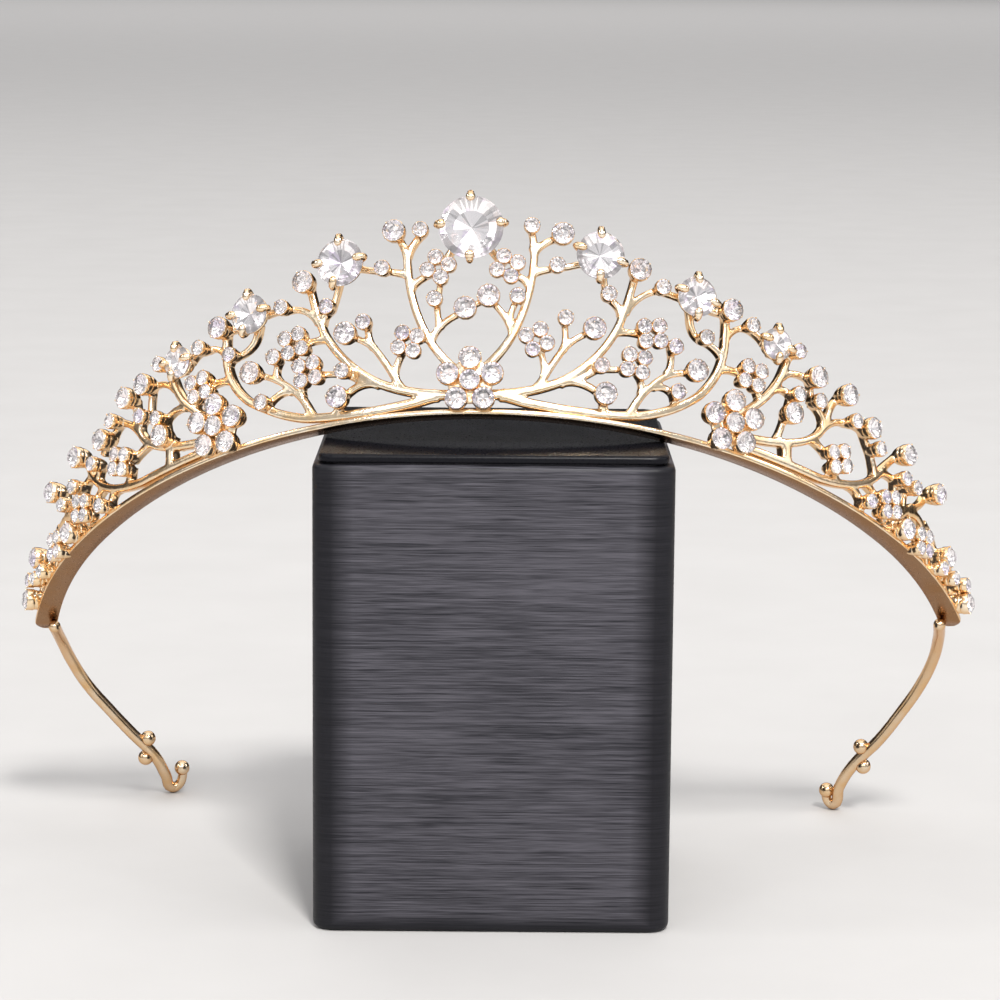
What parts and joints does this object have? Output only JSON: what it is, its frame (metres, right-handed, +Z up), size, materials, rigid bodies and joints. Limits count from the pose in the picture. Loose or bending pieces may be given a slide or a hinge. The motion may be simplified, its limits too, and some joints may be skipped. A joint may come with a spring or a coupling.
{
  "type": "crystal tiara on display block",
  "caption": "Curved cast tiara of stems, flowers and claw-set crystals, leaning over a plain square display block and standing on its two side wires.",
  "frame": {"origin": "middle of the display block's bottom face", "axes": "+Z up, -Y towards the viewer of the tiara's front, +X to that viewer's right"},
  "size_m": [0.1596, 0.085, 0.1124],
  "materials": {
    "gold_alloy": "polished",
    "crystal": "polished",
    "block_wrap": "satin"
  },
  "bodies": {
    "root": {"display_block": "block_wrap", "tiara_frame": "gold_alloy", "crest_stone_middle": "crystal", "crest_stone_left_1": "crystal", "crest_stone_left_2": "crystal", "crest_stone_left_3": "crystal", "crest_stone_right_1": "crystal", "crest_stone_right_2": "crystal", "crest_stone_right_3": "crystal", "flower_stones_middle": "crystal", "flower_stones_left": "crystal", "flower_stones_right": "crystal", "clover_stones_left": "crystal", "clover_stones_right": "crystal", "rhinestones_left": "crystal", "rhinestones_right": "crystal"}
  },
  "joints": []
}
